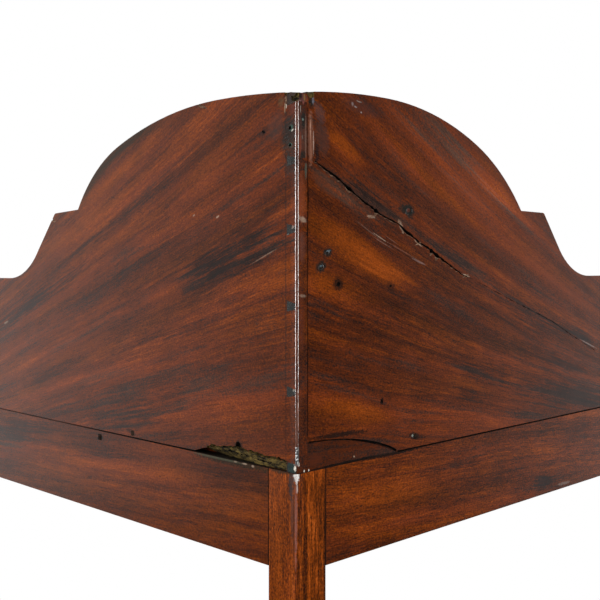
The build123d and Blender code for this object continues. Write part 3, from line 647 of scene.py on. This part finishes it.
def polished_arris(name):
    """The back corner, rubbed pale and shiny where hands and polish wear it, with dark chips low down that
    carry painted white glints.
    """
    material, sketch = new_material(name)
    x, y, z = level_place(sketch)
    wear = sketch.noise(x / 1.2, y / 1.2, z / 9, 4, 0.65, 17)
    dents = sketch.noise(x / 3, y / 3, z / 3, 3, 0.6, 19)
    colour = wear.ramp(0.3, 0.7).mix(arris_dark, arris_pale)
    from_chips = sketch.math("ABSOLUTE", z - (joint_line / mm + chips_height))
    chipped = from_chips.ramp(chips_reach, chips_reach - 1)
    # Painted white glints on the chips
    sparks = sketch.noise(x / 1.6, y / 1.6, z / 1.1, 2, 0.5, 23).ramp(0.53, 0.6)
    sparks = sparks * x.ramp(-1.2, 0.2)
    colour = chipped.mix(colour, sparks.mix(chip_dark, chip_white))
    roughness = 0.09 + wear * 0.12 + chipped * 0.5
    sketch.surface(colour, roughness, dents * 0.16 + wear * 0.03, IOR=arris_ior)
    return name, material


def metal(name, bright, dark, roughness_low, roughness_high):
    """Worn metal, with darker tarnish in patches."""
    material, sketch = new_material(name)
    x, y, z = level_place(sketch)
    tarnish = sketch.noise(x / 5, y / 5, z / 5, 4, 0.6, 2)
    fine = sketch.noise(x / 0.6, y / 0.6, z / 0.6, 2, 0.5, 5)
    colour = tarnish.ramp(0.4, 0.7).mix(bright, dark)
    roughness = tarnish.ramp(0.3, 0.7, roughness_low, roughness_high)
    sketch.surface(colour, roughness, tarnish * 0.015 + fine * 0.004, Metallic=1)
    return name, material


def plain_wood(name, place, seed, low, high):
    """Unpolished inside wood, in two colours along its grain."""
    material, sketch = new_material(name)
    along, across, through = place(sketch)
    rings = sketch.noise(along / 200, across / 5, through / 5, 3, 0.6, seed)
    fibre = sketch.noise(along / 14, across / 0.5, through / 0.5, 2, 0.6, seed + 3)
    dirt = sketch.noise(along / 60, across / 40, through / 40, 3, 0.6, seed + 6)
    tone = (0.5 + (rings - 0.5) * 1.6 + (fibre - 0.5) * 0.6 + (dirt - 0.5) * 0.8).clamp()
    height = (rings - 0.5) * 0.06 + (fibre - 0.5) * 0.05
    sketch.surface(tone.mix(low, high), 0.55 + dirt * 0.3, height)
    return name, material


def make_materials():
    right_axis, left_axis = wall_axes(RIGHT)[0], wall_axes(LEFT)[0]
    upright, level = Vector((0, 0, 1)), Vector((1, 0, 0))
    made = [
        mahogany("tail_board", wall_place(RIGHT), tail_flow, right_axis, 20, 0.52, 0.58, fine=1.3,
                 patches=tail_patches, marks=tail_marks, end_marks=tail_end_marks, dirty_rim=True,
                 worn_arris=0.25),
        mahogany("pin_board", wall_place(LEFT), pin_flow, left_axis, 31, 0.45, 0.5, fine=1.4,
                 patches=pin_patches, marks=pin_marks, end_marks=pin_end_marks, worn_arris=0.25),
        mahogany("wedge", wall_place(LEFT), rail_flow, left_axis, 37, 0.38, 0.42, 0.6, marks=wedge_marks,
                 end_marks=wedge_end_marks, worn_arris=0.2, dirty_top=True),
        mahogany("rail_right", wall_place(RIGHT), rail_flow, right_axis, 44, 0.52, 0.62,
                 patches=tail_rail_patches, marks=tail_rail_marks, dirty_top=True),
        mahogany("rail_left", wall_place(LEFT), rail_flow, left_axis, 52, 0.48, 0.62, fine=1.5,
                 patches=pin_rail_patches, marks=pin_rail_marks, dirty_top=True),
        mahogany("back_leg", wall_place(RIGHT), upright_flow, upright, 61, 0.62, 0.9, 1.3, 2,
                 patches=back_leg_patches, marks=leg_marks, worn_arris=0.3),
        mahogany("leg", front_place, upright_flow, upright, 66, 0.54, 0.7, 1.1, 1.8),
        mahogany("board", level_place, straight_flow(0.04), level, 73, 0.52, 0.6),
        mahogany("front", front_place, straight_flow(0.02), level, 77, 0.54, 0.6),
        rough_wood("broken_wood", (12, 9, 3), (126, 104, 52), 4, 5),
        # The nearly black inside of cracks, holes and open joints: dirt, and painted shade in these narrow
        # gaps
        rough_wood("crack_dark", (8, 5, 4), (22, 14, 10), 9, 8, 0.85),
        rough_wood("fresh_wood", (92, 62, 44), (178, 146, 120), 5, 11, 0.5),
        # Nearly black broken edges and seams: dirt, and painted shade where parts meet
        rough_wood("edge_dirt_and_shade", (12, 7, 4), (46, 24, 12), 30, 14, 0.85),
        plain_wood("oak", level_place, 80, (88, 62, 36), (144, 110, 70)),
        plain_wood("pine", level_place, 85, (84, 58, 34), (138, 102, 62)),
        polished_arris("arris"),
        metal("brass", (206, 160, 80), (120, 84, 38), 0.16, 0.42),
        metal("iron", (96, 76, 62), (50, 38, 32), 0.6, 0.85),
    ]
    return dict(made)


# The cracks and open joints: places along the wall and above the joint line, each with the width there
main_crack = (
    (15.5, 191.5, 0.5), (24, 187.5, 0.9), (35, 183, 1.1), (47.5, 176, 1.2), (56, 171.5, 0.8),
    (62.5, 168, 1.2), (70, 165, 1.5), (78, 161, 1), (88, 158, 0.8), (98, 155, 0.8), (105, 150.5, 1.5),
    (112, 147.5, 1.1), (121, 142.5, 1), (130, 139.5, 1.5), (141, 134, 1.3), (150, 130, 1),
    (162, 124.5, 0.8), (172, 120, 0.7), (183, 117.5, 0.3),
)
splinter_line = (
    (50, 157, 0.12), (62, 151, 0.2), (72, 146.3, 0.4), (85, 141.5, 0.3), (100, 137, 0.16), (127, 128, 0.12),
)
far_crack = (
    (183, 117.5, 0.25), (237, 100, 0.5), (270, 90, 0.4), (300, 80.5, 0.6), (332, 67.5, 0.5), (373, 52, 0.5),
)
foot_places = (96, 150, 210, 280, 350, 420, 454)
pin_foot_widths = (1.3, 1, 1.2, 0.9, 1.1, 0.9, 0.8)
tail_foot_widths = (1.2, 0.8, 0.7, 0.45, 0.5, 0.4, 0.4)
pin_foot_joint = tuple((t, 0.3, width) for t, width in zip(foot_places, pin_foot_widths))
tail_foot_joint = tuple((t, 0.3, width) for t, width in zip(foot_places, tail_foot_widths))
corner_joint = (
    (9.3, 20, 0.6), (9.3, 60, 0.8), (9.3, 100, 0.6), (9.3, 146, 0.9), (9.3, 190, 0.6), (9.3, 224, 0.5),
)
wedge_joint = (
    (10, 18, 0.9), (24, 17.2, 0.9), (37, 16.2, 1.1), (52, 14.1, 1.2), (64, 11.8, 1.4), (76, 8.7, 1.4),
    (88, 4.6, 1.6), (95, 1.4, 1.4),
)
# The slot between the pin board and the tails: its place along the wall, its width, its two ends and depth
open_joint = (9, 1.1, 147, 187, 5)

# The hollows: place along the wall and above the joint line, half length, half height and depth
pin_dents = (
    (27, 135, 3, 1.5, 0.7), (21.5, 126, 2.8, 2, 0.8), (109, 164.5, 4, 2.4, 0.4),
)
pin_holes = ((37, 115, 1.6, 1.4, 1.4), (80, 36, 1, 1.5, 1.2), (89, 113, 1.2, 0.9, 0.5))
pin_splinters = (
    (69, 159, 3.2, 0.6, 0.6), (176, 119.2, 4.4, 0.6, 0.6), (119, 142, 3.4, 0.6, 0.5),
    (98, 157, 1.6, 1.3, 0.5), (103, 150, 1.8, 1.4, 0.6),
)
tail_holes = (
    (30, 211, 1.6, 1, 0.6), (54, 10, 2.6, 2.4, 3), (6, 211, 1.2, 1.2, 1), (6, 200.5, 1.2, 1.1, 1),
)
tail_chips = ((91, 234.3, 5, 1.1, 1.2), (284, 164, 3.4, 1.2, 0.8), (8, 229, 2.6, 3.4, 0.9))
tail_corner = ((1.5, 232.5, 3.6, 2.4, 1.8), (8.6, 232.4, 2.6, 1.6, 1.4))
pin_corner = ((12, 233, 3, 3, 1.6),)
top_corner = ((0.6, 230.8, 4.6, 4.8, 1.9), (4.6, 232.6, 3.4, 2.2, 1.7))

# The torn wood inside the broken edge: place along the wall, height of its top, and how deep its foot lies
raw_stations = (
    (8.4, 6.2, 1.4), (14, 6.8, 1.6), (20, 6.9, 1.6), (27, 6.6, 1.4), (34, 7, 1.8), (40, 7.5, 2.2),
    (46, 7.9, 3.4), (52, 8.4, 4.2), (57, 8.8, 4.8), (62, 8, 4.6), (67, 7.3, 5), (72, 6.8, 6),
    (78, 6.3, 7.4), (86, 5, 8.2),
)
raw_start = 0.5
raw_steps = 7
raw_parts = 5
raw_back = board_thickness - 0.3
raw_rough = 1.5
raw_least = 0.35
torn_rim = tuple((t, top, 1.5) for t, top, foot_depth in raw_stations)
torn_split = (
    (12, 2.6, 0.5), (24, 3, 0.7), (36, 3.2, 0.5), (44, 3.8, 0.9), (56, 4.2, 1.4), (66, 4.6, 1.2),
)

# How far a cutter stands out of the wall's face, a groove's half width as a share of its width, the length
# of a ragged path's steps, and a hollow's slope, roughness and size of bumps
cutter_out = -0.6
groove_half = 0.7
ragged_step = 2.4
hollow_slope = 0.35
hollow_rough = 0.3
hollow_bumps = 1.7


def clean_mesh(node_name):
    """A node's mesh with the corners that the frame keeps apart joined, and its flat faces whole."""
    source = nodes[node_name].data
    plain = bpy.data.meshes.new(node_name + "_plain")
    plain.from_pydata([v.co for v in source.vertices], [], [tuple(f.vertices) for f in source.polygons])
    made = bmesh.new()
    made.from_mesh(plain)
    bmesh.ops.remove_doubles(made, verts=made.verts, dist=weld_distance)
    bmesh.ops.dissolve_limit(made, angle_limit=flat_angle, verts=made.verts, edges=made.edges)
    made.to_mesh(plain)
    made.free()
    return plain


def break_edges(piece):
    """Bevels the sharp edges, in the piece's second material, which on the mahogany is a nearly black edge:
    dirt, and painted shade in the seams between parts.
    """
    bevel = piece.modifiers.new("bevel", "BEVEL")
    bevel.width = broken_edge_width
    bevel.segments = 2
    bevel.limit_method = "ANGLE"
    bevel.angle_limit = broken_edge_angle
    bevel.material = 1


def new_piece(name, mesh):
    piece = bpy.data.objects.new(name, mesh)
    bpy.context.scene.collection.objects.link(piece)
    return piece


def apply_modifiers(piece):
    """Puts the piece's modifiers into its mesh."""
    bpy.context.view_layer.update()
    ready = piece.evaluated_get(bpy.context.evaluated_depsgraph_get())
    mesh = bpy.data.meshes.new_from_object(ready)
    piece.modifiers.clear()
    piece.data = mesh


def ragged_path(path, seed, wander=0.4, swell=1.1):
    """A path of places with widths, in short steps that wander and swell a little."""
    finer = []
    for (t0, z0, width0), (t1, z1, width1) in zip(path, path[1:]):
        count = max(1, round(math.hypot(t1 - t0, z1 - z0) / ragged_step))
        for part in range(count):
            share = part / count
            t = t0 + (t1 - t0) * share
            aside = noise.noise(Vector((t * 0.45, seed, 0))) * wander
            wider = math.exp(noise.noise(Vector((t * 0.6, seed, 5))) * swell)
            width = (width0 + (width1 - width0) * share) * wider
            finer.append((t, z0 + (z1 - z0) * share + aside, width))
    return finer + [path[-1]]


def skin(made, side, rings, slot):
    """A closed tube through rings of places on a wall."""
    rings = [[made.verts.new(on_wall(side, *place)) for place in ring] for ring in rings]
    faces = [made.faces.new(rings[0]), made.faces.new(rings[-1])]
    count = len(rings[0])
    for first, second in zip(rings, rings[1:]):
        for index in range(count):
            after = (index + 1) % count
            faces.append(made.faces.new((first[index], first[after], second[after], second[index])))
    for face in faces:
        face.material_index = slot


def groove(made, side, path, depth_share, slot, lean=0, drop=0):
    """A tapering groove along a path of places with widths. lean moves its foot up, drop all of it down."""
    rings = []
    for index, (t, z, width) in enumerate(path):
        before, after = path[max(index - 1, 0)], path[min(index + 1, len(path) - 1)]
        run = Vector((after[0] - before[0], after[1] - before[1])).normalized()
        up = Vector((-run.y, run.x))
        middle = Vector((t, z)) - up * (drop * width)
        half = width * groove_half
        high, low = middle + up * half, middle - up * half
        foot = middle + up * (lean * width)
        rings.append(((*high, cutter_out), (*low, cutter_out), (*foot, width * depth_share)))
    skin(made, side, rings, slot)


def hollow(made, side, t, z, half_length, half_height, deep, slot):
    """A rough hollow in a wall's face, that slopes with the grain."""
    along, inward = wall_axes(side)
    tilt = Matrix.Rotation(math.atan(hollow_slope) * side, 3, inward)
    up = Vector((0, 0, 1))
    centre = on_wall(side, t, z)
    ball = bmesh.ops.create_icosphere(made, subdivisions=3, radius=1)
    for vertex in ball["verts"]:
        rough = noise.noise(vertex.co * hollow_bumps + Vector((t, z, 0)))
        reach = vertex.co * (1 + hollow_rough * rough)
        offset = tilt @ (along * (reach.x * half_length) + up * (reach.y * half_height))
        vertex.co = centre + (offset + inward * (reach.z * deep)) * mm
    for face in {face for vertex in ball["verts"] for face in vertex.link_faces}:
        face.material_index = slot


def hollows(side, table, slot):
    """A shape for each hollow of a table."""
    return [(hollow, side, *each, slot) for each in table]


def slot_cut(made, side, t, width, low_z, high_z, deep, slot):
    """A narrow upright slot that tapers to its ends."""
    beside = t - 0.2
    rings = []
    for z, wide in ((low_z, 0.2), ((low_z + high_z) / 2, width), (high_z, 0.3)):
        rings.append((
            (beside, z, cutter_out), (t + wide, z, cutter_out), (t + wide * 0.8, z, deep), (beside, z, deep),
        ))
    skin(made, side, rings, slot)


def raw_slope(made, side, slot):
    """The torn wood inside the broken edge: it slopes in and down from the face, rough across the grain."""
    finer = []
    for first, second in zip(raw_stations, raw_stations[1:]):
        for part in range(raw_parts):
            finer.append([low + (high - low) * (part / raw_parts) for low, high in zip(first, second)])
    finer.append(raw_stations[-1])
    rings = []
    for t, top, foot_depth in finer:
        ring = []
        for step in range(raw_steps + 1):
            share = step / raw_steps
            depth = raw_start + (foot_depth - raw_start) * share ** 1.3
            z = top + 0.6 - (top + 0.3) * share
            rough = noise.noise(Vector((t * 0.35, z * 1.3, 3)))
            rough += 0.5 * noise.noise(Vector((t * 0.9, z * 2.4, 9)))
            depth += rough * raw_rough * math.sin(math.pi * min(share + 0.15, 1))
            ring.append((t, z, max(depth, raw_least)))
        rings.append((*ring, (t, 0.3, raw_back), (t, top + 0.6, raw_back)))
    skin(made, side, rings, slot)


def tool_piece(name, shapes, materials):
    """A closed helper for cutting or joining, made of shapes: a function each, with what it is given."""
    made = bmesh.new()
    for shape, *values in shapes:
        shape(made, *values)
    bmesh.ops.recalc_face_normals(made, faces=made.faces)
    mesh = bpy.data.meshes.new(name)
    made.to_mesh(mesh)
    made.free()
    for material in materials:
        mesh.materials.append(material)
    return new_piece(name, mesh)


def combine(piece, tool, operation):
    """Cuts the tool out of a piece, or joins it on, and deletes the tool."""
    change = piece.modifiers.new(operation, "BOOLEAN")
    change.operation = operation
    change.solver = "EXACT"
    change.use_self = True
    change.material_mode = "INDEX"
    change.object = tool
    apply_modifiers(piece)
    bpy.data.objects.remove(tool)


def rule_corners(piece, keep_sharp):
    """Lets large flat faces rule the shading at their corners."""
    flat = piece.modifiers.new("normals", "WEIGHTED_NORMAL")
    flat.mode = "FACE_AREA"
    flat.keep_sharp = keep_sharp


def mark_arris(piece, figure, edge, arris):
    """Gives the rounded back corner its own finish."""
    for face in piece.data.polygons:
        near = face.center.y > corner_y - arris_reach
        turned = face.normal.y > math.cos(arris_half_angle)
        if near and turned and face.material_index in (figure, edge):
            face.material_index = arris


def damaged_board(name, node_name, finishes, cuts, joins=()):
    """A splash board with its cracks, chips and hollows carved in, in place of its node."""
    piece = new_piece(name, clean_mesh(node_name))
    for finish in finishes:
        piece.data.materials.append(finish)
    break_edges(piece)
    apply_modifiers(piece)
    if joins:
        combine(piece, tool_piece("joined", joins, finishes), "UNION")
    combine(piece, tool_piece("cut", cuts, finishes), "DIFFERENCE")
    mark_arris(piece, 0, 1, len(finishes) - 1)
    piece.data.shade_smooth()
    piece.data.set_sharp_from_angle(angle=crease_angle)
    rule_corners(piece, keep_sharp=True)
    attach(piece, "stand")
    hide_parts(node_name)
    return piece


def make_boards(materials):
    figure, broken, dark, fresh = 0, 2, 3, 4
    pin_cuts = (
        (groove, LEFT, ragged_path(main_crack, 2), 3, dark, 0.3),
        (groove, LEFT, ragged_path(main_crack, 2, swell=2.2), 0.5, fresh, 0, 0.5),
        (groove, LEFT, ragged_path(splinter_line, 4, swell=2), 0.7, fresh),
        (groove, LEFT, ragged_path(far_crack, 6, swell=2), 1.4, dark),
        (slot_cut, LEFT, *open_joint, dark),
        (groove, LEFT, pin_foot_joint, 1.2, dark),
        (groove, LEFT, corner_joint, 1.2, dark),
        (groove, LEFT, wedge_joint, 1.2, dark),
        *hollows(LEFT, pin_dents, figure),
        *hollows(LEFT, pin_holes, dark),
        *hollows(LEFT, pin_splinters, fresh),
        *hollows(LEFT, pin_corner, broken),
        *hollows(RIGHT, top_corner, broken),
    )
    tail_cuts = (
        (groove, RIGHT, tail_foot_joint, 1.2, dark),
        *hollows(RIGHT, tail_holes, dark),
        *hollows(RIGHT, tail_chips, fresh),
        (groove, RIGHT, ragged_path(torn_rim, 8, 0.9, 1.6), 1.4, broken),
        (groove, RIGHT, ragged_path(torn_split, 3, 0.7, 2), 4, dark),
        *hollows(RIGHT, tail_corner, broken),
    )
    names = ("edge_dirt_and_shade", "broken_wood", "crack_dark", "fresh_wood", "arris")
    shared = [materials[name] for name in names]
    left = damaged_board("left_splash", "splash_board_left", [materials["pin_board"], *shared], pin_cuts)
    right = damaged_board(
        "right_splash", "splash_board_right", [materials["tail_board"], *shared], tail_cuts,
        [(raw_slope, RIGHT, broken)],
    )
    return left, right


def finish_edges(piece):
    """Joins the corners that the frame keeps apart, breaks the edges and keeps the flat faces flat."""
    weld = piece.modifiers.new("weld", "WELD")
    weld.merge_threshold = weld_distance
    whole = piece.modifiers.new("whole", "DECIMATE")
    whole.decimate_type = "DISSOLVE"
    whole.angle_limit = flat_angle
    break_edges(piece)
    rule_corners(piece, keep_sharp=False)


# Boards with curved faces, which keep the frame's own normals
curved_boards = (
    "top_board", "middle_shelf", "case_floor", "low_shelf", "upper_frieze", "sham_front_left",
    "sham_front_right", "sham_beads_left", "sham_beads_right", "drawer_front", "drawer_beads",
)


def dress(materials):
    """Gives each node its finish: its own, or else its slot's, which is board for the mahogany slots."""
    own = {"splash_wedge_left": "wedge", "back_leg": "back_leg"}
    own["upper_frieze"] = own["drawer_front"] = "front"
    for side in ("left", "right"):
        own["upper_rail_" + side] = own["case_rail_" + side] = "rail_" + side
        own["front_leg_" + side] = "leg"
        own["sham_front_" + side] = "front"
    for name, piece in nodes.items():
        slot = piece.data.materials[0].name.split(".")[0]
        chosen = materials[own.get(name, "board" if slot.startswith("mahogany") else slot)]
        for index in range(len(piece.data.materials)):
            piece.data.materials[index] = chosen
        if slot in ("brass", "iron") or name in curved_boards:
            continue
        piece.data.materials.append(materials["edge_dirt_and_shade" if slot.startswith("mahogany") else slot])
        finish_edges(piece)


def make_camera():
    data = bpy.data.cameras.new("photo_camera")
    data.lens = camera_lens
    data.sensor_width = camera_sensor
    data.shift_y = camera_shift
    camera = new_piece("photo_camera", data)
    camera.location = (camera_aside, corner_y + camera_distance, camera_height)
    camera.rotation_euler = (math.radians(90), 0, math.radians(180))
    bpy.context.scene.camera = camera


# Soft rectangular lamps: the turn round the stand in degrees from straight behind the camera towards +X,
# then height, distance, width and height of the lamp in metres, power, the height it aims at, whether the
# pieces mirror it, and whether it lights them
lamps = {
    "soft_left": (60, 1.5, 2.2, 1.4, 1.4, 29, 0.8, False, True),
    "soft_right": (-60, 1.5, 2.2, 1.4, 1.4, 29, 0.8, False, True),
    "soft_front": (180, 2.2, 2.8, 2, 1.4, 33, 0.6, True, True),
    "strip_left": (72, 1.03, 1.5, 0.34, 0.68, 10, 1.03, True, False),
    "strip_right": (-52, 1.03, 1.5, 0.26, 0.68, 6, 1.03, True, False),
}


def lamp(name, turn, height, distance, width, tall, power, aim_height, mirrored, lights):
    data = bpy.data.lights.new(name, "AREA")
    data.shape = "RECTANGLE"
    data.size = width
    data.size_y = tall
    data.energy = power
    made = new_piece(name, data)
    angle = math.radians(turn)
    aim = Vector((0, corner_y, aim_height))
    made.location = aim + Vector((math.sin(angle), math.cos(angle), 0)) * distance
    made.location.z = height
    made.rotation_euler = (aim - made.location).to_track_quat("-Z", "Y").to_euler()
    made.visible_glossy = mirrored
    made.visible_diffuse = lights
    made.visible_camera = False
    return made


def make_lamps(back_corner):
    """Soft lamps for the whole stand, and two strips that only the pieces of the back corner mirror."""
    made = {name: lamp(name, *settings) for name, settings in lamps.items()}
    mirrored_by = bpy.data.collections.new("back_corner")
    for piece in back_corner:
        mirrored_by.objects.link(piece)
    for name in ("strip_left", "strip_right"):
        made[name].light_linking.receiver_collection = mirrored_by


# The studio round the stand: how bright it is on matt surfaces, how bright its front is in a mirror, and the
# floor's colour, size and finish
studio_level = 0.42
dark_end = 0.02
floor_colour = (225, 225, 224)
floor_roughness = 0.9
floor_reach = 1.5
floor_sides = 96
white = (255, 255, 255)


def ray_kinds(sketch):
    """Whether a ray comes from the camera, off a mirror or through glass, as 0 or 1 each."""
    paths = sketch.node("ShaderNodeLightPath")
    kinds = ("Is Camera Ray", "Is Glossy Ray", "Is Transmission Ray")
    return [Field(sketch, paths.outputs[kind]) for kind in kinds]


def make_world():
    """A plain studio. In a mirror it is dark beside the walls and bright behind the stand."""
    world = bpy.data.worlds.new("studio")
    bpy.context.scene.world = world
    sketch = Sketch.on(world)
    seen, mirrored, through = ray_kinds(sketch)
    x, y, z = sketch.given("Generated")
    reach = sketch.math("SQRT", x * x + y * y + 0.0001)
    behind = (0 - y) / reach
    backdrop = dark_end + behind.ramp(0, 0.7) * (1 - dark_end)
    window = behind.ramp(-0.1, 0.12) * behind.ramp(0.7, 0.2) * x.ramp(0.3, 0.9)
    ceiling = z.ramp(0.3, 0.8) * 0.5
    low = z.ramp(-0.32, -0.2, 0.15, 1)
    studio = sketch.math("MINIMUM", (backdrop + window * 0.3) * low + ceiling, 1)
    level = studio_level + (seen + through) * (1 - studio_level) - mirrored * studio_level
    values = {"Color": white, "Strength": level + mirrored * studio}
    sketch.end("ShaderNodeBackground", values, "ShaderNodeOutputWorld")


def make_floor():
    """A round pale floor. It brightens to white towards its edge, so that it has no visible end."""
    made = bmesh.new()
    bmesh.ops.create_circle(made, cap_ends=True, segments=floor_sides, radius=floor_reach)
    mesh = bpy.data.meshes.new("floor")
    made.to_mesh(mesh)
    made.free()
    floor = new_piece("floor", mesh)
    material, sketch = new_material("floor")
    seen, _, through = ray_kinds(sketch)
    x, y, z = sketch.given("Object")
    away = sketch.math("SQRT", x * x + y * y)
    glow = (seen + through) * away.ramp(0.3, 1.4, 0.12, 0.7)
    values = {
        "Base Color": floor_colour, "Roughness": floor_roughness, "Emission Color": white,
        "Emission Strength": glow,
    }
    sketch.end("ShaderNodeBsdfPrincipled", values, "ShaderNodeOutputMaterial")
    mesh.materials.append(material)


materials = make_materials()
dress(materials)
boards = make_boards(materials)
make_camera()
make_lamps((*boards, nodes["splash_wedge_left"], nodes["back_leg"]))
make_world()
make_floor()
bpy.context.scene.view_settings.view_transform = "Standard"
